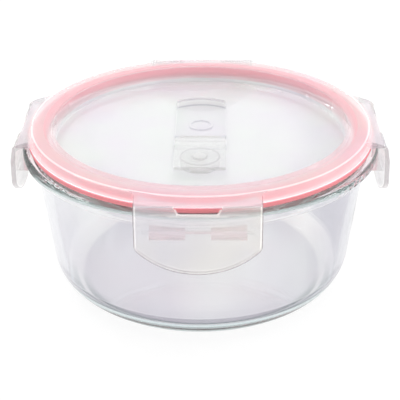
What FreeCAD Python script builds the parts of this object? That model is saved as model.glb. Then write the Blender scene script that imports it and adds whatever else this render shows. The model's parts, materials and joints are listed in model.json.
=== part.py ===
import FreeCAD, Part
import math
import os

# Round glass food container with a clamp-down lid, in millimetres, +Z up.
# The origin is the middle of the base, on the surface that the bowl stands on.
# The bowl is one thick pressing with a rolled rim. The lid is a translucent
# moulding with a sunk centre panel, a silicone ring in its channel, four
# latch flaps on thin integral hinges at 90 degrees, and a steam vent with a
# flap and a silicone plug. Front is -Y.

Vector = FreeCAD.Vector
UP = Vector(0, 0, 1)
ORIGIN = Vector(0, 0, 0)

# --- Bowl ---------------------------------------------------------------
RIM_RADIUS = 85.0               # outside edge of the rolled rim
RIM_BOTTOM = 67.5               # underside of the rim, where the latches hook on
RIM_TOP = 72.3                  # sealing face
RIM_OUTER_ROUND = 2.1
GLASS_WALL = 4.0
GLASS_FLOOR = 5.0
WALL_RADIUS_AT_BASE = 71.76     # outer wall line carried down to z = 0
WALL_SLOPE = 0.1162             # outward lean per millimetre of height
BASE_CORNER = 17.6              # outside round between wall and base
FLOOR_CORNER = 10.0             # inside round between wall and floor
FOOT_RECESS = 1.0               # the base rises this much from foot ring to middle
FOOT_INNER_RADIUS = 53.0        # inner edge of the flat foot ring

# --- Lid ----------------------------------------------------------------
LID_TOP = 80.7                  # flat top of the raised ring
LID_WALL = 1.6
RING_INNER_RADIUS = 70.0
RING_OUTER_RADIUS = 80.4
SKIRT_RADIUS = 82.1             # lower edge of the outer skirt
SKIRT_BOTTOM = 75.9
PANEL_TOP = 72.0                # sunk centre panel
PANEL_THICKNESS = 1.8
PLUG_WALL_BOTTOM = 67.3         # lower edge of the wall that enters the bowl
SILICONE_GAP = 0.1              # clearance round the silicone parts
SEAL_INNER_RADIUS = 73.2
SEAL_OUTER_RADIUS = 78.5        # top of the band
SEAL_STEP_RADIUS = 80.1         # where the band meets the outer lip
SEAL_LIP_RADIUS = 82.1
SEAL_LIP_HEIGHT = 2.3
SEAL_FOOT = (77.6, 79.8)        # radii of the lip that sits on the rim

# --- Latches, drawn on the +X side: u is outward from the middle ----------
LATCH_HALF_WIDTH = 26.85
HINGE_RADIUS = 85.3             # bending line of the latch hinge
HINGE_HEIGHT = 78.0
HINGE_KNUCKLE = 0.3
HINGE_STRIP_INSET = 0.3         # the strips stop short of the slot and the side
WING_END = 84.6                 # the lid's wings stop short of the bending line
WING_SLOPE_START = 77.5         # a wing's top slopes down from here,
WING_SHOULDER = (82.6, 79.2)    # to this line, and then more steeply
WING_ROOT_ROUND = 4.8           # concave, where a wing leaves the ring
WING_RIB_BOTTOM = 77.3
LATCH_TOP = 77.45
LATCH_THICKNESS = 1.75
LATCH_BOTTOM = 47.6
LATCH_ARC_RADIUS = 36.25        # curved lower edge
LATCH_CORNER = 4.0
LATCH_FACE = ((85.75, LATCH_TOP, 0.2), (87.0, 70.5, 10),    # side view of the outer
              (87.2, 62.0, 30), (87.9, LATCH_BOTTOM - 1, 0))  # face, with its rounds
BEAD_HEIGHT = 0.4               # raised border of the outer face
BEAD_WIDTH = 1.3
SLOT_BOTTOM = 74.7
SLOT_TOP_HALF_WIDTH = 9.7
SLOT_BOTTOM_HALF_WIDTH = 8.1
HOOK_NEAR = 5.35                # each hook lies this far to one side of centre
HOOK_FAR = 20.5
HOOK_TOP = 67.2
HOOK_BOTTOM = 62.9
HOOK_RADIUS = 82.1              # inner face, concentric with the bowl
RIB_HALF_WIDTH = 23.5           # stiffening rib through the hooks
RIB_RADIUS = 84.7
RIB_HEIGHT = 1.0
LATCH_ANGLES = {"front": -90, "right": 0, "back": 90, "left": 180}

# --- Steam vent -----------------------------------------------------------
VENT_HALF_WIDTH = 12.4
VENT_HALF_LENGTH = 46.5
VENT_WALL = 1.3
VENT_FLOOR = 67.4               # top of the wells' floor
VENT_END_RADIUS = 20.4          # bowed ends of the two wells
VENT_CORNER = 1.8
VENT_HINGE_Y = -2.0
VENT_HINGE_HALF_WIDTH = 10.0
LAND_FRONT = -1.55              # narrow land behind the flap's hinge
LAND_BACK = -0.25
LAND_TOP = 71.6                 # a little low, so that the flap can fold right back
ROOT_STEP_Y = -7.7              # front well starts here, under the flap's root
ROOT_SEAT = 70.2                # seat under the flap's root
FLAP_ROOT_Y = -2.45
FLAP_END_Y = -35.7
FLAP_HALF_WIDTH = 12.0
FLAP_THICKNESS = 1.5
TAB_HALF_WIDTH = 4.3
TAB_END_Y = -39.0
STEAM_HOLE_Y = -24.4
STEAM_HOLE_RADIUS = 4.0
PLUG_FLANGE_RADIUS = 9.3
PLUG_STEM_RADIUS = 1.2
PLUG_HEAD_RADIUS = 3.3
PARK_BOSS_Y = 20.4              # the plug's head drops into this when folded back
PARK_BOSS_RADIUS = 6.2
PARK_BOSS_WALL = 1.2
PARK_BOSS_HEIGHT = 1.0


# --- Helpers --------------------------------------------------------------
def rounded_face(corners, place):
    """Flat face from (u, v, corner radius) points, put in space by place(u, v)."""
    points = [place(u, v) for u, v, _ in corners]
    count = len(points)
    stretches = []
    for i, here in enumerate(points):
        radius = corners[i][2]
        if radius == 0:
            stretches.append((here, None, here))
            continue
        back = (points[i - 1] - here).normalize()
        ahead = (points[(i + 1) % count] - here).normalize()
        half = back.getAngle(ahead) / 2
        reach = radius / math.tan(half)
        inward = (back + ahead).normalize()
        middle = here + inward * (radius / math.sin(half) - radius)
        stretches.append((here + back * reach, middle, here + ahead * reach))
    edges = []
    for i, (start, middle, end) in enumerate(stretches):
        if middle is not None:
            edges.append(Part.Arc(start, middle, end).toShape())
        following = stretches[(i + 1) % count][0]
        if end.distanceToPoint(following) > 1e-6:
            edges.append(Part.LineSegment(end, following).toShape())
    return Part.Face(Part.Wire(edges))


def side_point(u, v):
    return Vector(u, 0, v)


def plan_point(u, v):
    return Vector(u, v, 0)


def turned(corners, x=0.0, y=0.0):
    """Solid of revolution about a vertical axis through (x, y)."""
    solid = rounded_face(corners, side_point).revolve(ORIGIN, UP, 360)
    return solid.translate(Vector(x, y, 0))


def pulled_sideways(corners, start, end):
    """Side profile (outward, height) pulled along Y from start to end."""
    solid = rounded_face(corners, side_point).extrude(Vector(0, end - start, 0))
    return solid.translate(Vector(0, start, 0))


def prism(corners, bottom, top):
    """Plan outline pulled up from bottom to top."""
    solid = rounded_face(corners, plan_point).extrude(Vector(0, 0, top - bottom))
    return solid.translate(Vector(0, 0, bottom))


def disc(radius, bottom, top, x=0.0, y=0.0):
    return Part.makeCylinder(radius, top - bottom, Vector(x, y, bottom), UP)


def box(x_range, y_range, z_range):
    ranges = (x_range, y_range, z_range)
    low = Vector(*[min(pair) for pair in ranges])
    return Part.makeBox(*[abs(pair[1] - pair[0]) for pair in ranges], low)


def fused(first, *others):
    return first.multiFuse(list(others)).removeSplitter()


def aimed(shape, angle):
    """Copy of a shape drawn on the +X side, turned to face another side."""
    copy = shape.copy()
    return copy.rotate(ORIGIN, UP, angle)


# --- Bowl -----------------------------------------------------------------
def wall_radius(z, inset=0.0):
    """Radius of the bowl's outer wall line at height z, less an inset."""
    return WALL_RADIUS_AT_BASE + WALL_SLOPE * z - inset


def glass_bowl():
    inset = GLASS_WALL * math.hypot(1, WALL_SLOPE)
    return turned([
        (0, FOOT_RECESS, 0),
        (FOOT_INNER_RADIUS, 0, 0),
        (wall_radius(0), 0, BASE_CORNER),
        (wall_radius(RIM_BOTTOM), RIM_BOTTOM, 1.5),
        (RIM_RADIUS, RIM_BOTTOM, RIM_OUTER_ROUND),
        (RIM_RADIUS, RIM_TOP, RIM_OUTER_ROUND),
        (wall_radius(RIM_TOP, inset), RIM_TOP, 1.5),
        (wall_radius(GLASS_FLOOR, inset), GLASS_FLOOR, FLOOR_CORNER),
        (0, GLASS_FLOOR, 0),
    ])


# --- Lid ------------------------------------------------------------------
def lid_disc():
    """Panel, raised ring, outer skirt and the wall that drops into the bowl."""
    panel_bottom = PANEL_TOP - PANEL_THICKNESS
    channel_top = LID_TOP - LID_WALL
    plug_inner = RING_INNER_RADIUS - 1.2
    plug_outer = plug_inner + LID_WALL + 0.4
    return turned([
        (0, panel_bottom, 0),
        (plug_inner, panel_bottom, 0.5),
        (plug_inner, PLUG_WALL_BOTTOM, 0.5),
        (plug_outer, PLUG_WALL_BOTTOM, 0.6),
        (plug_outer + 0.5, channel_top, 0.8),
        (RING_OUTER_RADIUS - 1.5, channel_top, 0.6),
        (SKIRT_RADIUS - LID_WALL, SKIRT_BOTTOM, 0.3),
        (SKIRT_RADIUS, SKIRT_BOTTOM, 0.3),
        (RING_OUTER_RADIUS, LID_TOP, 1.4),
        (RING_INNER_RADIUS, LID_TOP, 0.8),
        (RING_INNER_RADIUS - 0.7, PANEL_TOP, 0.6),
        (0, PANEL_TOP, 0),
    ])


def wing():
    """Plate that carries one latch, with a rib down each side."""
    under = LID_TOP - LID_WALL
    inner = RING_INNER_RADIUS + 4
    side = LATCH_HALF_WIDTH
    root = math.asin(side / RING_OUTER_RADIUS)
    outline = []
    for sign in (1, -1):
        half = [(HINGE_RADIUS, side, 0),
                (RING_OUTER_RADIUS * math.cos(root), side, WING_ROOT_ROUND),
                (RING_OUTER_RADIUS * math.cos(root + 0.08),
                 RING_OUTER_RADIUS * math.sin(root + 0.08), 0),
                (inner, side - 4, 0)]
        outline += [(u, sign * v, radius) for u, v, radius in half[::sign]]
    plan = prism(outline, WING_RIB_BOTTOM - 1, LID_TOP + 1)
    past = side + 8
    shoulder, shoulder_top = WING_SHOULDER
    plate = pulled_sideways([
        (inner, LID_TOP, 0),
        (WING_SLOPE_START, LID_TOP, 6),
        (shoulder, shoulder_top, 3),
        (WING_END, HINGE_HEIGHT + 0.3, 0.2),
        (WING_END, HINGE_HEIGHT - 0.6, 0),
        (shoulder - 1.0, shoulder_top - 1.6, 1.5),
        (WING_SLOPE_START, under, 6),
        (inner, under, 0),
    ], -past, past)
    rib_profile = [
        (inner, LID_TOP - 0.4, 0),
        (WING_SLOPE_START, LID_TOP - 0.4, 0),
        (shoulder, shoulder_top - 0.4, 0),
        (WING_END - 0.9, HINGE_HEIGHT, 0.3),
        (WING_END - 1.7, WING_RIB_BOTTOM, 0.5),
        (inner, WING_RIB_BOTTOM, 0),
    ]
    ribs = [pulled_sideways(rib_profile, start, start + 8)
            for start in (side - LID_WALL, LID_WALL - side - 8)]
    channel = disc(SKIRT_RADIUS - 2.1, WING_RIB_BOTTOM - 2, under)
    return fused(plate, *ribs).common(plan).cut(channel)


def vent_well(side, start, grow, bottom, top):
    """Well from y = start to a bowed end; side is +1 at the back, -1 in front."""
    half_width = VENT_HALF_WIDTH + grow
    end = side * (VENT_HALF_LENGTH + grow)
    centre = side * (VENT_HALF_LENGTH - VENT_END_RADIUS)
    across = (-half_width, half_width)
    straight = box(across, (start - side * grow, centre), (bottom, top))
    bow = disc(VENT_END_RADIUS + grow, bottom, top, 0, centre)
    bowed = box(across, (centre, end), (bottom, top)).common(bow)
    solid = fused(straight, bowed)
    corners = [edge for edge in solid.Edges
               if abs(edge.BoundBox.ZLength - (top - bottom)) < 1e-6
               and abs(edge.BoundBox.Center.y) > abs(centre) + 1]
    return solid.makeFillet(VENT_CORNER + grow, corners)


def lid():
    shell_bottom = VENT_FLOOR - VENT_WALL
    wings = [aimed(wing(), angle) for angle in LATCH_ANGLES.values()]
    wells = ((1, LAND_BACK), (-1, ROOT_STEP_Y))
    shells = [vent_well(side, start, VENT_WALL, shell_bottom, PANEL_TOP)
              for side, start in wells]
    across = (-VENT_HALF_WIDTH, VENT_HALF_WIDTH)
    seat_across = (-VENT_HALF_WIDTH - VENT_WALL, VENT_HALF_WIDTH + VENT_WALL)
    seat = box(seat_across, (ROOT_STEP_Y, LAND_FRONT), (ROOT_SEAT - LID_WALL, PANEL_TOP))
    body = fused(lid_disc(), *wings, *shells, seat)
    hollows = [vent_well(side, start, 0, VENT_FLOOR, PANEL_TOP + 1)
               for side, start in wells]
    recess = box(across, (ROOT_STEP_Y - 1, LAND_FRONT), (ROOT_SEAT, PANEL_TOP + 1))
    land_relief = box(across, (LAND_FRONT - 1, LAND_BACK + 1), (LAND_TOP, PANEL_TOP + 1))
    steam_hole = disc(STEAM_HOLE_RADIUS, shell_bottom - 1, VENT_FLOOR + 1, 0, STEAM_HOLE_Y)
    body = body.cut(fused(*hollows, recess, land_relief, steam_hole))
    boss = turned([
        (PARK_BOSS_RADIUS - PARK_BOSS_WALL, VENT_FLOOR - 0.3, 0),
        (PARK_BOSS_RADIUS, VENT_FLOOR - 0.3, 0),
        (PARK_BOSS_RADIUS, VENT_FLOOR + PARK_BOSS_HEIGHT, 0.4),
        (PARK_BOSS_RADIUS - PARK_BOSS_WALL, VENT_FLOOR + PARK_BOSS_HEIGHT, 0.4),
    ], 0, PARK_BOSS_Y)
    return fused(body, boss)


def gasket_ring():
    """Silicone seal: a thick band in the channel, a lip on the rim, an outer lip."""
    top = LID_TOP - LID_WALL - SILICONE_GAP
    bottom = RIM_TOP + SILICONE_GAP
    foot_inner, foot_outer = SEAL_FOOT
    return turned([
        (SEAL_INNER_RADIUS, top, 0.6),
        (SEAL_OUTER_RADIUS, top, 0.6),
        (SEAL_STEP_RADIUS, SKIRT_BOTTOM - SILICONE_GAP, 0.2),
        (SEAL_LIP_RADIUS, SKIRT_BOTTOM - SILICONE_GAP, 0.4),
        (SEAL_LIP_RADIUS, SKIRT_BOTTOM - SEAL_LIP_HEIGHT, 0.9),
        (foot_outer + 0.8, SKIRT_BOTTOM - SEAL_LIP_HEIGHT - 0.2, 0.3),
        (foot_outer, bottom, 0.5),
        (foot_inner, bottom, 0.5),
        (foot_inner - 1.0, SKIRT_BOTTOM - 1.5, 0.3),
        (SEAL_INNER_RADIUS, SKIRT_BOTTOM - 0.5, 0.8),
    ])


# --- Latches --------------------------------------------------------------
def latch_outline(inset):
    """Front view of a latch as a solid block: straight sides and a curved foot."""
    half_width = LATCH_HALF_WIDTH - inset
    deep = (HINGE_RADIUS - 8, HINGE_RADIUS + 8)
    block = box(deep, (-half_width, half_width), (LATCH_BOTTOM - 1, LATCH_TOP + 1))
    radius = LATCH_ARC_RADIUS - inset
    centre = Vector(deep[0] - 1, 0, LATCH_BOTTOM + LATCH_ARC_RADIUS)
    foot = Part.makeCylinder(radius, 20, centre, Vector(1, 0, 0))
    solid = block.common(foot)
    corners = [edge for edge in solid.Edges
               if edge.BoundBox.XLength > 10
               and edge.BoundBox.ZLength < 1e-6
               and edge.BoundBox.Center.z < HOOK_BOTTOM]
    return solid.makeFillet(LATCH_CORNER - inset, corners)


def latch_plate(extra):
    """Bent plate of the latch; extra is added to its outer face."""
    half_width = LATCH_HALF_WIDTH
    inner = [(u - LATCH_THICKNESS, v, radius) for u, v, radius in LATCH_FACE[::-1]]
    inner[-1] = (LATCH_FACE[0][0] - 1.2, LATCH_TOP - 0.55, 0.2)
    raised = [(u + extra, v, radius) for u, v, radius in LATCH_FACE]
    return pulled_sideways(raised + inner, -half_width, half_width)


def latch_hook(side):
    """Block under the rim; its inner face follows the bowl's curve."""
    span = (side * HOOK_NEAR, side * HOOK_FAR)
    block = box((HOOK_RADIUS - 5, HINGE_RADIUS + 1), span, (HOOK_BOTTOM, HOOK_TOP))
    return block.cut(disc(HOOK_RADIUS, HOOK_BOTTOM - 1, HOOK_TOP + 1))


def latch():
    outline = latch_outline(0)
    plate = latch_plate(0).common(outline)
    bead = latch_plate(BEAD_HEIGHT).common(outline.cut(latch_outline(BEAD_WIDTH)))
    rib_top = HOOK_TOP - 0.3
    rib = box((RIB_RADIUS, HINGE_RADIUS + 1), (-RIB_HALF_WIDTH, RIB_HALF_WIDTH),
              (rib_top - RIB_HEIGHT, rib_top))
    slot_top = LATCH_TOP + 2
    lean = (SLOT_TOP_HALF_WIDTH - SLOT_BOTTOM_HALF_WIDTH) / (HINGE_HEIGHT - SLOT_BOTTOM)
    top_half = SLOT_BOTTOM_HALF_WIDTH + lean * (slot_top - SLOT_BOTTOM)
    slot = rounded_face([
        (-top_half, slot_top, 0),
        (-SLOT_BOTTOM_HALF_WIDTH, SLOT_BOTTOM, 1.2),
        (SLOT_BOTTOM_HALF_WIDTH, SLOT_BOTTOM, 1.2),
        (top_half, slot_top, 0),
    ], lambda u, v: Vector(HINGE_RADIUS - 5, u, v)).extrude(Vector(10, 0, 0))
    return fused(plate, bead, rib, latch_hook(1), latch_hook(-1)).cut(slot)


def hinge_strips():
    """The two thin strips, one each side of the slot, that a latch bends on."""
    strips = []
    near = SLOT_TOP_HALF_WIDTH + HINGE_STRIP_INSET
    far = LATCH_HALF_WIDTH - HINGE_STRIP_INSET
    for start in (near, -far):
        knuckle = Part.makeCylinder(HINGE_KNUCKLE, far - near,
                                    Vector(HINGE_RADIUS, start, HINGE_HEIGHT), Vector(0, 1, 0))
        web = box((WING_END, HINGE_RADIUS), (start, start + far - near),
                  (HINGE_HEIGHT - HINGE_KNUCKLE, HINGE_HEIGHT + HINGE_KNUCKLE))
        strips.append(fused(knuckle, web))
    return Part.makeCompound(strips)


# --- Steam vent -----------------------------------------------------------
def vent_flap():
    bottom = PANEL_TOP - FLAP_THICKNESS
    plate = prism([
        (-FLAP_HALF_WIDTH, FLAP_ROOT_Y, 0.3),
        (-FLAP_HALF_WIDTH, FLAP_END_Y, 1.2),
        (FLAP_HALF_WIDTH, FLAP_END_Y, 1.2),
        (FLAP_HALF_WIDTH, FLAP_ROOT_Y, 0.3),
    ], bottom, PANEL_TOP)
    tab = prism([
        (-TAB_HALF_WIDTH, FLAP_END_Y + 1, 0),
        (-TAB_HALF_WIDTH, TAB_END_Y, 1.5),
        (TAB_HALF_WIDTH, TAB_END_Y, 1.5),
        (TAB_HALF_WIDTH, FLAP_END_Y + 1, 0),
    ], bottom + 0.2, PANEL_TOP - 0.3)
    ridge = disc(PLUG_FLANGE_RADIUS, PANEL_TOP - 0.5, PANEL_TOP + 0.25, 0, STEAM_HOLE_Y)
    ridge = ridge.cut(disc(PLUG_FLANGE_RADIUS - 0.8, PANEL_TOP - 1, PANEL_TOP + 1,
                           0, STEAM_HOLE_Y))
    groove = box((-FLAP_HALF_WIDTH - 1, FLAP_HALF_WIDTH + 1),
                 (ROOT_STEP_Y - 0.3, ROOT_STEP_Y + 0.3), (PANEL_TOP - 0.4, PANEL_TOP + 1))
    stem_hole = disc(PLUG_STEM_RADIUS + SILICONE_GAP, bottom - 1, PANEL_TOP + 1,
                     0, STEAM_HOLE_Y)
    return fused(plate, tab, ridge).cut(groove).cut(stem_hole)


def vent_plug():
    """Silicone stopper: head above the flap, stem through it, flange and nose below."""
    flap_bottom = PANEL_TOP - FLAP_THICKNESS - SILICONE_GAP
    head_bottom = PANEL_TOP + SILICONE_GAP
    lip = VENT_FLOOR + SILICONE_GAP
    flange = flap_bottom - 1.3
    return turned([
        (0, VENT_FLOOR - VENT_WALL + 0.3, 0),
        (2.7, VENT_FLOOR - VENT_WALL + 0.3, 0.4),
        (3.3, flange, 0),
        (PLUG_FLANGE_RADIUS - 1.6, flange, 0.3),
        (PLUG_FLANGE_RADIUS - 1.2, lip, 0.2),
        (PLUG_FLANGE_RADIUS - 0.2, lip, 0.2),
        (PLUG_FLANGE_RADIUS, flap_bottom, 0.3),
        (PLUG_STEM_RADIUS, flap_bottom, 0),
        (PLUG_STEM_RADIUS, head_bottom, 0),
        (PLUG_HEAD_RADIUS, head_bottom, 0.1),
        (PLUG_HEAD_RADIUS, head_bottom + 0.6, 0.3),
        (0, head_bottom + 0.6, 0),
    ], 0, STEAM_HOLE_Y)


def vent_hinge_strip():
    """Thin strip on the land, ending in the line that the vent flap bends on."""
    half = VENT_HINGE_HALF_WIDTH
    knuckle = Part.makeCylinder(0.25, 2 * half, Vector(-half, VENT_HINGE_Y, PANEL_TOP),
                                Vector(1, 0, 0))
    web = box((-half, half), (VENT_HINGE_Y, LAND_BACK), (LAND_TOP, PANEL_TOP - 0.1))
    return fused(knuckle, web)


# --- Export ---------------------------------------------------------------
def all_parts():
    parts = {
        "glass_bowl": glass_bowl(),
        "lid": lid(),
        "gasket_ring": gasket_ring(),
        "vent_flap": vent_flap(),
        "vent_plug": vent_plug(),
        "vent_hinge_strip": vent_hinge_strip(),
    }
    one_latch = latch()
    one_hinge = hinge_strips()
    for name, angle in LATCH_ANGLES.items():
        parts["latch_" + name] = aimed(one_latch, angle)
        parts["latch_hinge_" + name] = aimed(one_hinge, angle)
    return parts


os.makedirs("parts", exist_ok=True)
for node, shape in all_parts().items():
    solids = len(shape.Solids)
    print(node, "valid" if shape.isValid() else "INVALID", solids, "solid(s)",
          round(shape.Volume / 1000, 2), "cm3")
    shape.exportStep(os.path.join("parts", node + ".step"))
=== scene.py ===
import json
import math

import bmesh
import bpy
from mathutils import Matrix, Vector


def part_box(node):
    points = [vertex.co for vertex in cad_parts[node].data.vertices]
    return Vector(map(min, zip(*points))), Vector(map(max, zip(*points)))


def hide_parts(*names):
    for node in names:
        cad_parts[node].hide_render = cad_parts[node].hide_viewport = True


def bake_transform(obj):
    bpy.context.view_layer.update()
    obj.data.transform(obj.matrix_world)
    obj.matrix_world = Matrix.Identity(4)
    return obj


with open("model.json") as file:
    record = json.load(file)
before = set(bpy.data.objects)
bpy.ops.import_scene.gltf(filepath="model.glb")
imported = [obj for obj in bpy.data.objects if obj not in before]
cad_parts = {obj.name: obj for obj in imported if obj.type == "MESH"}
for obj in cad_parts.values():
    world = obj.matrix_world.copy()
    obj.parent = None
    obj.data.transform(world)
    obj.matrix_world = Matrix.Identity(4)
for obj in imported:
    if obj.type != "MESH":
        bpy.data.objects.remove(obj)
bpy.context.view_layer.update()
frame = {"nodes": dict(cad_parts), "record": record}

# Round glass food container, in metres: looks for the CAD nodes, the bending webs of the hinges,
# the camera and the studio. A tint covers a band of heights above the table and a band of radii,
# measured from the object's upright axis.
SIDES = ("front", "right", "back", "left")
LINE_SOFT = 0.0002                         # a line's edge fades over this
ZONE_SOFT = 0.0003                         # a tinted zone's edge fades over this
NOISE_SPAN = (0.3, 0.7)                    # noise lies mostly between these levels
CLOUD_SPAN = (0.35, 0.65)                  # clouds go from one colour to the other between these

# --- Painted highlight and shade lines on the latches, wings and vent flap ---
LATCH_LOW, LATCH_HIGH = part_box("latch_front")
LATCH_HALF_WIDTH = LATCH_HIGH[0]
LATCH_ARC_RADIUS = 0.03625                 # curved lower edge
LATCH_ARC_CENTRE = LATCH_LOW[2] + LATCH_ARC_RADIUS
LATCH_RIM, LATCH_RIM_LEVEL = (0.00045, 0.0011), 0.75     # painted highlight line, inward from the edge
LATCH_OUTLINE = (-0.001, 0.00035)          # painted shade line at the edge
SLOT_HEIGHTS = (0.0747, 0.0780)
SLOT_HALF_WIDTHS = (0.0081, 0.0097)        # at these heights
SLOT_FRAME, SLOT_FRAME_BOTTOM = 0.0006, 0.0742           # painted highlight border round the slot
WING_RADII = (0.0832, 0.0950)
PLUG_LOW, PLUG_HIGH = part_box("vent_plug")
PLUG_Y = (PLUG_LOW[1] + PLUG_HIGH[1]) / 2
PLUG_RINGS = ((0.0087, 0.0094), (0.0031, 0.0038))        # edges of its flange and its head, for painted shade lines
FLAP_FRONT = (-0.0395, -0.0352)
FLAP_MARK_LEVEL = 0.6
# Tone of the painted shade lines at the edges of the latches, wings and vent flap.
EDGE_SHADE_TONE = (0.32, 0.26, 0.28)

# --- Glass --------------------------------------------------------------------
GLASS_COLOR = (0.945, 0.945, 0.957)
GLASS_IOR = 1.47
GLASS_GLOSS = 0.8
GLASS_WALL = (0.010, 0.064), (0.060, 0.084)              # heights and radii
# Painted shade on the glass walls, in upright streaks.
GLASS_SHADE_STREAKS = (0.84, 0.83, 0.87), (0.935, 0.94, 0.94)
STREAK_SCALE, STREAK_STRETCH = 22, (1, 1, 0.4)           # upright streaks of painted shade
# Painted pink reflections, in clouds over the glass away from the walls.
GLASS_PINK_REFLECTIONS = (0.955, 0.930, 0.945), (0.955, 0.955, 0.960)
GLASS_CLOUD_SCALE = 30
WAVE_STRETCH, WAVE_DEPTH = (1, 1, 1.4), 0.00014          # waves left by pressing
WALL_SHADE = (0.74, 0.73, 0.78)                          # on the wall at the right
WALL_SHADE_SPAN, WALL_SHADE_SOFT = (0.054, 0.080), 0.016
BASE_CORNER_RADIUS = 0.080
# These lines are painted shade, in dark and lighter teal and grey, and lie on the front only.
GLASS_LINES = (((0.22, 0.30, 0.31), (0.0020, 0.0045), 0.0625),     # tint, heights and inner radius
               ((0.62, 0.82, 0.84), (0.0047, 0.0062), 0.0668),     # of the light and dark lines
               ((0.10, 0.14, 0.15), (0.0066, 0.0080), 0.0680),     # in the round base corner
               ((0.42, 0.41, 0.46), (0.0120, 0.0150), 0.0710))
UNLIT_SIDE = (-0.034, -0.004)                            # y over which these lines fade out
DEPTH_TINT, DEPTH_DENSITY = (0.3, 0.5, 0.47), 4.5        # green where the glass is thick

# --- Plastic ------------------------------------------------------------------
PLASTIC_IOR = 1.45
PLASTIC_CLOUD_SCALE = 30
SATIN_SCALE = 900
RIPPLE_SCALE, RIPPLE_DEPTH = 420, 0.000001
GRAIN_SHARE = (0.92, 1.08)                 # roughness varies between these shares of its value
EDGE_SHARE = 0.16                          # how bright a face's painted glow is, against a painted highlight at an edge
VENT_RADII = (0.0, 0.052)
WELL_SHADE_LINE = (0.50, 0.48, 0.58)
LID_TINTS = (((0.87, 0.76, 0.78), (0.060, 0.0802), (0.0715, 0.0822)),       # painted pink light from the seal
             ((0.95, 0.68, 0.72), (0.0740, 0.0800), (0.0680, 0.0722)),      # painted pink light, inside of the ring
             ((0.83, 0.76, 0.82), (0.076, 0.0796), (0.0822, 0.0950)),       # wings
             ((0.96, 0.66, 0.70), (0.0796, 0.0810), (0.0702, 0.0745)),      # painted pink light on the ring's inner edge
             ((1.0, 1.0, 1.0), (0.0678, 0.0707), VENT_RADII),               # painted light on the vent wells' walls, painted shade lines at their tops and bottoms
             (WELL_SHADE_LINE, (0.0710, 0.0716), VENT_RADII),                     # their top lines
             (WELL_SHADE_LINE, (0.0677, 0.0683), VENT_RADII))                     # and bottom lines
LID_HIGHLIGHT_LINES = (((0.0755, 0.0766), (0.0790, 0.0830)),                          # painted highlight, skirt's lower edge
             ((0.08025, 0.0810), (0.0796, 0.0804)))                         # painted highlight, ring's outer edge
LATCH_TINTS = (((0.90, 0.60, 0.64), (0.0628, 0.0673), (0.0, 0.0852)),)      # painted pink light from the seal, on the hooks
LATCH_HIGHLIGHT_LINES = (((0.0741, 0.0748), (0.0, 0.0872)),)                          # painted highlight under the slot

# --- Silicone -----------------------------------------------------------------
SILICONE_IOR = 1.41
SILICONE_CLOUD_SCALE = 60
SILICONE_GRAIN_SCALE, SILICONE_GRAIN_DEPTH = 1500, 0.0000005
SEAL_LIP_HEIGHTS, SEAL_LIP_SOFT = (0.0, 0.0757), 0.0006  # painted shade: the seal is darker below the skirt
SEAL_LIP_SHADE = (0.80, 0.24, 0.26)

# --- Bending webs -------------------------------------------------------------
WEB_HALF_THICKNESS = 0.00024
WEB_STEPS = 24
SLOT_SIDE = 0.010                          # a latch's webs start here, beside its slot
LATCH_WEB_REACH = 0.00105                  # from the bending line into the wing
LATCH_WEB_DROP = 0.0008                    # and down into the latch
LATCH_WEB_ROUND = 0.00035
CORNER_STEPS = 8
VENT_WEB_HEIGHT = 0.07185
VENT_WEB_LINE = (-0.0012, -0.0015, -0.0018, -0.0020, -0.0022, -0.0025, -0.0028)     # y

# --- Camera -------------------------------------------------------------------
AZIMUTH = 0.92
ELEVATION = 27.99
DISTANCE = 0.5313
AIM = (-0.00044, 0, 0.03636)
ROLL = -0.387
LENS, SENSOR = 96.04, 36.0

# --- Studio -------------------------------------------------------------------
FLOOR_HALF_SIDE, FLOOR_DROP = 3.0, 0.0002
FLOOR_TONE, FLOOR_ROUGHNESS, FLOOR_GLOW = (0.15, 0.15, 0.15), 0.9, 0.90
FOOT_EDGE = (0.0613, (1.0, 1.0, 1.0))
FRONT_SHADE = ((0.0, (1.0, 0.99, 1.0)), (0.040, (0.99, 0.98, 1.0)),         # radius and tone of the
               (0.0570, (0.86, 0.86, 0.90)), (0.0590, (0.50, 0.54, 0.56)),  # shade under the foot's
               (0.0609, (0.16, 0.24, 0.25)), FOOT_EDGE)                     # front
BACK_SHADE = ((0.0, (1.0, 0.99, 1.0)), (0.040, (0.98, 0.97, 0.99)),         # and under its back
              (0.0590, (0.82, 0.81, 0.85)), FOOT_EDGE)
SHADE_TURN = (-0.040, -0.010)              # y over which one passes into the other
SKY_LEVEL, DIM_LEVEL = 0.90, 0.45
DIM_TOWARDS = (-0.60, -0.72, 0.34)         # the unlit side of the studio, in front of the object
DIM_TURN = (0.55, 0.97)                    # how directly a ray heads there as the light falls
BLACK_HEIGHTS, BLACK_SOFT = (0.22, 0.28), 0.04           # a dark band there, by upward slope
BLACK_TURN, BLACK_LEVEL = (0.1, 0.5), 0.2  # it comes in as the light falls by these shares
SOFTBOXES = (((-0.55, 0.35, 0.80), 0.20, 1.2),           # place, side and power
             ((0.75, 0.10, 0.60), 0.16, 0.7))
LIGHT_BOUNCES = 64                         # enough to pass through all the layers of glass


# --- Shader helpers -----------------------------------------------------------
def principled(name, color, roughness, ior=1.46, transmission=0.0):
    """Material with one Principled shader, whose even values sit on its own sockets."""
    material = bpy.data.materials.new(name)
    material.use_nodes = True
    shader = material.node_tree.nodes["Principled BSDF"]
    shader.inputs["Base Color"].default_value = (*color, 1)
    shader.inputs["Roughness"].default_value = roughness
    shader.inputs["IOR"].default_value = ior
    shader.inputs["Transmission Weight"].default_value = transmission
    return material, material.node_tree, shader


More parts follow.
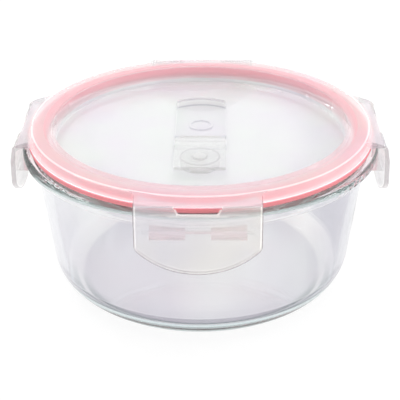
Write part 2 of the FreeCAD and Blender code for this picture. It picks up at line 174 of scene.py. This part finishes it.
def noise(tree, scale, detail=3.0, stretch=(1, 1, 1)):
    """Noise in object space, with scale in cycles per metre."""
    place = tree.nodes.new("ShaderNodeTexCoord")
    mapping = tree.nodes.new("ShaderNodeMapping")
    mapping.inputs["Scale"].default_value = stretch
    texture = tree.nodes.new("ShaderNodeTexNoise")
    texture.inputs["Scale"].default_value = scale
    texture.inputs["Detail"].default_value = detail
    tree.links.new(place.outputs["Object"], mapping.inputs["Vector"])
    tree.links.new(mapping.outputs["Vector"], texture.inputs["Vector"])
    return texture.outputs["Fac"]


def maths(tree, operation, first, second=None):
    """Result of an operation on a value and, where it takes two, a second value or number."""
    node = tree.nodes.new("ShaderNodeMath")
    node.operation = operation
    tree.links.new(first, node.inputs[0])
    if isinstance(second, bpy.types.NodeSocket):
        tree.links.new(second, node.inputs[1])
    elif second is not None:
        node.inputs[1].default_value = second
    return node.outputs["Value"]


def times(tree, first, second):
    return maths(tree, "MULTIPLY", first, second)


def diagonal(tree, first, second):
    """Length of the diagonal of a rectangle with these sides."""
    squares = maths(tree, "ADD", times(tree, first, first), times(tree, second, second))
    return maths(tree, "SQRT", squares)


def coordinate(tree, axis, space="Object"):
    """X, Y or Z of a place, or R, its distance from the upright axis."""
    if axis == "R":
        return diagonal(tree, coordinate(tree, "X", space), coordinate(tree, "Y", space))
    place = tree.nodes.new("ShaderNodeTexCoord")
    split = tree.nodes.new("ShaderNodeSeparateXYZ")
    tree.links.new(place.outputs[space], split.inputs["Vector"])
    return split.outputs[axis]


def spread(tree, value, low, high, low_at=NOISE_SPAN[0], high_at=NOISE_SPAN[1]):
    """From low to high as value goes from low_at to high_at, and level beyond them."""
    remap = tree.nodes.new("ShaderNodeMapRange")
    remap.inputs["From Min"].default_value = low_at
    remap.inputs["From Max"].default_value = high_at
    remap.inputs["To Min"].default_value = low
    remap.inputs["To Max"].default_value = high
    tree.links.new(value, remap.inputs["Value"])
    return remap.outputs["Result"]


def above(tree, value, limit, soft):
    """1 where value is above limit, falling to 0 over soft."""
    return spread(tree, value, 0, 1, limit - soft / 2, limit + soft / 2)


def below(tree, value, limit, soft):
    """1 where value is below limit, falling to 0 over soft."""
    return spread(tree, value, 1, 0, limit - soft / 2, limit + soft / 2)


def window(tree, value, low, high, soft):
    """1 where value is between low and high, falling to 0 over soft."""
    return times(tree, above(tree, value, low, soft), below(tree, value, high, soft))


def zone(tree, heights, radii):
    """1 between these heights and radii."""
    return times(tree, window(tree, coordinate(tree, "Z"), *heights, ZONE_SOFT),
                 window(tree, coordinate(tree, "R"), *radii, ZONE_SOFT))


def clouded(tree, value, low, high):
    """Colour between two colours, by a noise value."""
    ramp = tree.nodes.new("ShaderNodeValToRGB")
    for element, position, tone in zip(ramp.color_ramp.elements, CLOUD_SPAN, (low, high)):
        element.position = position
        element.color = (*tone, 1)
    tree.links.new(value, ramp.inputs["Fac"])
    return ramp.outputs["Color"]


def mixed(tree, first, second, amount):
    """From the first colour to the second, a socket or a plain colour, by amount."""
    mix = tree.nodes.new("ShaderNodeMix")
    mix.data_type = "RGBA"
    colors = [socket for socket in mix.inputs if socket.type == "RGBA"]
    tree.links.new(amount, mix.inputs["Factor"])
    tree.links.new(first, colors[0])
    if isinstance(second, bpy.types.NodeSocket):
        tree.links.new(second, colors[1])
    else:
        colors[1].default_value = (*second, 1)
    return next(socket for socket in mix.outputs if socket.type == "RGBA")


def bumps(tree, shader, height, depth):
    """Surface relief of this depth."""
    bump = tree.nodes.new("ShaderNodeBump")
    bump.inputs["Distance"].default_value = depth
    tree.links.new(height, bump.inputs["Height"])
    tree.links.new(bump.outputs["Normal"], shader.inputs["Normal"])


def grained(tree, shader, grain, roughness):
    """Roughness that varies a little with the grain."""
    varied = spread(tree, grain, *[roughness * share for share in GRAIN_SHARE])
    tree.links.new(varied, shader.inputs["Roughness"])


# --- Painted highlight and shade lines on the latches, wings and vent flap ---
def sideways(tree):
    """Distance from the middle of the nearest latch, along its hinge."""
    return maths(tree, "MINIMUM", maths(tree, "ABSOLUTE", coordinate(tree, "X")),
                 maths(tree, "ABSOLUTE", coordinate(tree, "Y")))


def latch_edge(tree, start, end):
    """1 from start to end, measured inward from a latch's side and lower edges."""
    across = sideways(tree)
    rise = maths(tree, "SUBTRACT", coordinate(tree, "Z"), LATCH_ARC_CENTRE)
    past_side = maths(tree, "SUBTRACT", across, LATCH_HALF_WIDTH)
    past_arc = maths(tree, "SUBTRACT", diagonal(tree, across, rise), LATCH_ARC_RADIUS)
    return window(tree, maths(tree, "MAXIMUM", past_side, past_arc), -end, -start, LINE_SOFT)


def latch_rim(tree):
    """Painted highlight just inside a latch's edge and round its slot."""
    height = coordinate(tree, "Z")
    slot_half_width = spread(tree, height, *SLOT_HALF_WIDTHS, *SLOT_HEIGHTS)
    past_slot = maths(tree, "SUBTRACT", sideways(tree), slot_half_width)
    border = times(tree, below(tree, past_slot, SLOT_FRAME, LINE_SOFT),
                   above(tree, height, SLOT_FRAME_BOTTOM, LINE_SOFT))
    rim = times(tree, latch_edge(tree, *LATCH_RIM), LATCH_RIM_LEVEL)
    return maths(tree, "MAXIMUM", rim, border)


# Painted shade line at a latch's edge.
def latch_outline(tree):
    return latch_edge(tree, *LATCH_OUTLINE)


def wing_outline(tree):
    """Painted shade on the side faces of the lid's wings."""
    outside, inside = [LATCH_HALF_WIDTH - inward for inward in LATCH_OUTLINE]
    side = window(tree, sideways(tree), inside, outside, LINE_SOFT)
    return times(tree, side, window(tree, coordinate(tree, "R"), *WING_RADII, ZONE_SOFT))


def flap_marks(tree):
    """Painted shade lines round the plug's flange and head, and along the flap's front edge."""
    along = coordinate(tree, "Y")
    radius = diagonal(tree, coordinate(tree, "X"), maths(tree, "SUBTRACT", along, PLUG_Y))
    marks = window(tree, along, *FLAP_FRONT, LINE_SOFT)
    for ring in PLUG_RINGS:
        marks = maths(tree, "MAXIMUM", marks, window(tree, radius, *ring, LINE_SOFT))
    return times(tree, marks, FLAP_MARK_LEVEL)


# --- Materials ----------------------------------------------------------------
def glass_material():
    """Clear pressed glass, green where it is thick, with the slight waves of pressing, and painted
    shade and pink reflections in its colour.
    """
    material, tree, shader = principled("pressed_glass", GLASS_COLOR, 0.0, GLASS_IOR, 1.0)
    shader.inputs["Specular IOR Level"].default_value = GLASS_GLOSS
    wall = zone(tree, *GLASS_WALL)
    streaks = noise(tree, STREAK_SCALE, detail=1.0, stretch=STREAK_STRETCH)
    clouds = noise(tree, GLASS_CLOUD_SCALE, detail=1.0)
    color = mixed(tree, clouded(tree, clouds, *GLASS_PINK_REFLECTIONS),
                  clouded(tree, streaks, *GLASS_SHADE_STREAKS), wall)
    right = window(tree, coordinate(tree, "X"), *WALL_SHADE_SPAN, WALL_SHADE_SOFT)
    color = mixed(tree, color, WALL_SHADE, times(tree, right, wall))
    unlit = spread(tree, coordinate(tree, "Y"), 1, 0, *UNLIT_SIDE)
    # Painted shade lines in the base corner, on the front only.
    for tint, heights, inner_radius in GLASS_LINES:
        line = zone(tree, heights, (inner_radius, BASE_CORNER_RADIUS))
        color = mixed(tree, color, tint, times(tree, line, unlit))
    tree.links.new(color, shader.inputs["Base Color"])
    waves = noise(tree, GLASS_CLOUD_SCALE, detail=1.0, stretch=WAVE_STRETCH)
    bumps(tree, shader, waves, WAVE_DEPTH)
    absorption = tree.nodes.new("ShaderNodeVolumeAbsorption")
    absorption.inputs["Color"].default_value = (*DEPTH_TINT, 1)
    absorption.inputs["Density"].default_value = DEPTH_DENSITY
    output = tree.nodes["Material Output"]
    tree.links.new(absorption.outputs["Volume"], output.inputs["Volume"])
    return material


def plastic_material(name, low, high, transmission, rough, opacity, glow, outline,
                     tints=(), edges=(), rim=None):
    """Milky moulded polypropylene: cloudy from low to high, with a faint satin grain. The glow is
    painted light, brighter as painted highlights at the edges and the rim; outline is painted
    shade."""
    material, tree, shader = principled(name, high, rough, PLASTIC_IOR, transmission)
    shader.inputs["Alpha"].default_value = opacity
    clouds = noise(tree, PLASTIC_CLOUD_SCALE)
    color = clouded(tree, clouds, low, high)
    for tint, heights, radii in tints:
        color = mixed(tree, color, tint, zone(tree, heights, radii))
    # Painted shade lines along the edges that outline picks out.
    color = mixed(tree, color, EDGE_SHADE_TONE, outline(tree))
    tree.links.new(color, shader.inputs["Base Color"])
    grained(tree, shader, noise(tree, SATIN_SCALE, detail=2.0), rough)
    bumps(tree, shader, noise(tree, RIPPLE_SCALE, detail=2.0), RIPPLE_DEPTH)
    shader.inputs["Emission Color"].default_value = (*high, 1)
    shader.inputs["Emission Strength"].default_value = glow
    # Painted highlights: the glow is brighter along these edges and on the rim.
    if edges:
        faces = [[level * EDGE_SHARE for level in tone] for tone in (low, high)]
        lit = clouded(tree, clouds, *faces)
        for heights, radii in edges:
            lit = mixed(tree, lit, high, zone(tree, heights, radii))
        if rim:
            lit = mixed(tree, lit, high, rim(tree))
        tree.links.new(lit, shader.inputs["Emission Color"])
        shader.inputs["Emission Strength"].default_value = glow / EDGE_SHARE
    return material


def silicone_material(name, low, high, rough, glow=0.0, opacity=1.0, lip_tone=None):
    """Silicone rubber: soft sheen, with a very fine matt grain. The glow is painted light, lip_tone
    painted shade.
    """
    material, tree, shader = principled(name, high, rough, SILICONE_IOR)
    shader.inputs["Emission Color"].default_value = (*high, 1)
    shader.inputs["Emission Strength"].default_value = glow
    shader.inputs["Alpha"].default_value = opacity
    color = clouded(tree, noise(tree, SILICONE_CLOUD_SCALE), low, high)
    if lip_tone:
        lip = window(tree, coordinate(tree, "Z"), *SEAL_LIP_HEIGHTS, SEAL_LIP_SOFT)
        color = mixed(tree, color, lip_tone, lip)
    tree.links.new(color, shader.inputs["Base Color"])
    grain = noise(tree, SILICONE_GRAIN_SCALE, detail=2.0)
    grained(tree, shader, grain, rough)
    bumps(tree, shader, grain, SILICONE_GRAIN_DEPTH)
    return material


GLASS = glass_material()
LID = plastic_material("lid_polypropylene", (0.84, 0.81, 0.87), (0.83, 0.87, 0.84),
                       transmission=0.35, rough=0.05, opacity=0.5, glow=0.11,
                       outline=wing_outline, tints=LID_TINTS, edges=LID_HIGHLIGHT_LINES)
LATCH = plastic_material("latch_polypropylene", (0.84, 0.83, 0.86), (0.92, 0.90, 0.85),
                         transmission=0.6, rough=0.03, opacity=0.6, glow=0.06,
                         outline=latch_outline, tints=LATCH_TINTS, edges=LATCH_HIGHLIGHT_LINES, rim=latch_rim)
FLAP = plastic_material("flap_polypropylene", (0.86, 0.85, 0.88), (0.88, 0.90, 0.87),
                        transmission=0.6, rough=0.03, opacity=0.45, glow=0.12, outline=flap_marks)
PINK = silicone_material("pink_silicone", (0.98, 0.33, 0.40), (1.0, 0.38, 0.45),
                         rough=0.45, glow=0.14, lip_tone=SEAL_LIP_SHADE)
CLEAR = silicone_material("clear_silicone", (0.98, 0.98, 0.98), (1.0, 1.0, 1.0),
                          rough=0.3, opacity=0.35)
FINISHES = {"glass_bowl": GLASS, "gasket_ring": PINK, "vent_plug": CLEAR,
            "lid": LID, "vent_flap": FLAP}        # the latches and hinges take LATCH


def finish_nodes():
    for name, node in frame["nodes"].items():
        for slot in node.material_slots:
            slot.material = FINISHES.get(name, LATCH)


# --- Bending webs of the living hinges --------------------------------------
def strip(name, centre_line, across, place):
    """Thin strip along a line of (outward, up) points, across from one v to the other. Place
    turns outward, v and up into a point."""
    sides = []
    for side in (1, -1):
        edge = []
        for index, point in enumerate(centre_line):
            before = centre_line[max(index - 1, 0)]
            after = centre_line[min(index + 1, len(centre_line) - 1)]
            along = Vector(after) - Vector(before)
            normal = Vector((-along.y, along.x)).normalized()
            edge.append(Vector(point) + normal * side * WEB_HALF_THICKNESS)
        sides.append(edge)
    loop = sides[0] + sides[1][::-1]
    count = len(loop)
    points, faces = [], []
    for step in range(WEB_STEPS + 1):
        v = across[0] + (across[1] - across[0]) * step / WEB_STEPS
        points += [place(outward, v, up) for outward, up in loop]
    for step in range(WEB_STEPS):
        first = step * count
        for index in range(count):
            following = (index + 1) % count
            faces.append((first + index, first + following,
                          first + count + following, first + count + index))
    faces.append(tuple(range(count))[::-1])
    faces.append(tuple(range(WEB_STEPS * count, WEB_STEPS * count + count)))
    mesh = bpy.data.meshes.new(name)
    mesh.from_pydata(points, [], faces)
    mesh.validate()
    bm = bmesh.new()
    bm.from_mesh(mesh)
    bmesh.ops.recalc_face_normals(bm, faces=bm.faces)
    bm.to_mesh(mesh)
    bm.free()
    mesh.materials.append(LATCH)
    web = bpy.data.objects.new(name, mesh)
    bpy.context.scene.collection.objects.link(web)
    return web


def corner_line(reach, drop, radius):
    """Level line from -reach that turns down by a rounded corner near 0 to -drop."""
    line = [(-reach, 0.0), (-(reach + radius) / 2, 0.0)]
    for step in range(CORNER_STEPS + 1):
        turn = math.radians(90 * step / CORNER_STEPS)
        line.append((-radius + radius * math.sin(turn), -radius + radius * math.cos(turn)))
    line += [(0.0, -(drop + radius) / 2), (0.0, -drop)]
    return line


def latch_webs():
    """Two webs for each latch, one on each side of its slot."""
    joints = {joint["name"]: joint for joint in frame["record"]["behaviour"]["joints"]}
    line = corner_line(LATCH_WEB_REACH, LATCH_WEB_DROP, LATCH_WEB_ROUND)
    for side in SIDES:
        pivot = Vector(joints[side + "_latch_hinge"]["pos_m"])
        outward = Vector((pivot.x, pivot.y, 0)).normalized()
        sideward = Vector((-outward.y, outward.x, 0))

        def place(u, v, z):
            return pivot + outward * u + sideward * v + Vector((0, 0, z))

        low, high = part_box("latch_hinge_" + side)
        half = max(abs(Vector(high).dot(sideward)), abs(Vector(low).dot(sideward)))
        for index, sign in enumerate((1, -1)):
            web = strip(f"latch_web_{side}_{index}", line, (sign * SLOT_SIDE, sign * half), place)
            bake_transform(web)
            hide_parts("latch_hinge_" + side)


def vent_web():
    """The vent flap's hinge, from the lid's land into the flap's root."""
    def place(y, x, z):
        return Vector((x, y, z))

    low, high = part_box("vent_hinge_strip")
    web = strip("vent_web", [(y, VENT_WEB_HEIGHT) for y in VENT_WEB_LINE], (low[0], high[0]), place)
    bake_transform(web)
    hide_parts("vent_hinge_strip")


# --- Camera and studio --------------------------------------------------------
def make_camera():
    azimuth, elevation = math.radians(AZIMUTH), math.radians(ELEVATION)
    back = Vector((math.sin(azimuth) * math.cos(elevation),
                   -math.cos(azimuth) * math.cos(elevation),
                   math.sin(elevation)))
    data = bpy.data.cameras.new("camera")
    data.lens = LENS
    data.sensor_width = SENSOR
    camera = bpy.data.objects.new("camera", data)
    bpy.context.scene.collection.objects.link(camera)
    camera.location = Vector(AIM) + back * DISTANCE
    camera.rotation_mode = "QUATERNION"
    roll = Matrix.Rotation(math.radians(ROLL), 3, "Z").to_quaternion()
    camera.rotation_quaternion = back.to_track_quat("Z", "Y") @ roll
    bpy.context.scene.camera = camera


def make_softboxes():
    for index, (place, side, power) in enumerate(SOFTBOXES):
        data = bpy.data.lights.new(f"softbox_{index}", "AREA")
        data.size = side
        data.energy = power
        light = bpy.data.objects.new(data.name, data)
        bpy.context.scene.collection.objects.link(light)
        light.location = place
        light.rotation_mode = "QUATERNION"
        light.rotation_quaternion = (Vector(place) - Vector(AIM)).to_track_quat("Z", "Y")


def shade_ramp(tree, stops):
    """Tone by distance from the middle of the foot."""
    outermost = stops[-1][0]
    ramp = tree.nodes.new("ShaderNodeValToRGB")
    elements = ramp.color_ramp.elements
    while len(elements) < len(stops):
        elements.new(0.5)
    for element, (radius, tone) in zip(elements, stops):
        element.position = radius / outermost
        element.color = (*tone, 1)
    share = spread(tree, coordinate(tree, "R"), 0, 1, 0, outermost)
    tree.links.new(share, ramp.inputs["Fac"])
    return ramp.outputs["Color"]


def make_floor():
    """White table, shaded under the foot."""
    half = FLOOR_HALF_SIDE
    mesh = bpy.data.meshes.new("floor")
    mesh.from_pydata([(-half, -half, 0), (half, -half, 0), (half, half, 0), (-half, half, 0)],
                     [], [(0, 1, 2, 3)])
    floor = bpy.data.objects.new("floor", mesh)
    bpy.context.scene.collection.objects.link(floor)
    floor.location.z = -FLOOR_DROP
    material, tree, shader = principled("white_table", FLOOR_TONE, FLOOR_ROUGHNESS)
    shader.inputs["Emission Strength"].default_value = FLOOR_GLOW
    behind = spread(tree, coordinate(tree, "Y"), 0, 1, *SHADE_TURN)
    shade = mixed(tree, shade_ramp(tree, FRONT_SHADE), shade_ramp(tree, BACK_SHADE), behind)
    tree.links.new(shade, shader.inputs["Emission Color"])
    mesh.materials.append(material)


def make_surroundings():
    """White surroundings, with an unlit side in front of the object that has a dark band."""
    world = bpy.data.worlds.new("studio")
    world.use_nodes = True
    tree = world.node_tree
    place = tree.nodes.new("ShaderNodeTexCoord")
    turn = tree.nodes.new("ShaderNodeVectorMath")
    turn.operation = "DOT_PRODUCT"
    turn.inputs[1].default_value = DIM_TOWARDS
    tree.links.new(place.outputs["Generated"], turn.inputs[0])
    dim = spread(tree, turn.outputs["Value"], 0, 1, *DIM_TURN)
    light = spread(tree, dim, SKY_LEVEL, DIM_LEVEL, 0, 1)
    band = window(tree, coordinate(tree, "Z", "Generated"), *BLACK_HEIGHTS, BLACK_SOFT)
    black = times(tree, band, spread(tree, dim, 0, 1, *BLACK_TURN))
    light = times(tree, light, spread(tree, black, 1, BLACK_LEVEL, 0, 1))
    background = tree.nodes["Background"]
    background.inputs["Color"].default_value = (1, 1, 1, 1)
    tree.links.new(light, background.inputs["Strength"])
    bpy.context.scene.world = world
    bpy.context.scene.view_settings.view_transform = "Standard"


def allow_bounces():
    cycles = bpy.context.scene.cycles
    cycles.max_bounces = LIGHT_BOUNCES
    cycles.transmission_bounces = LIGHT_BOUNCES
    cycles.glossy_bounces = LIGHT_BOUNCES
    cycles.diffuse_bounces = LIGHT_BOUNCES


finish_nodes()
latch_webs()
vent_web()
make_camera()
make_softboxes()
make_floor()
make_surroundings()
allow_bounces()
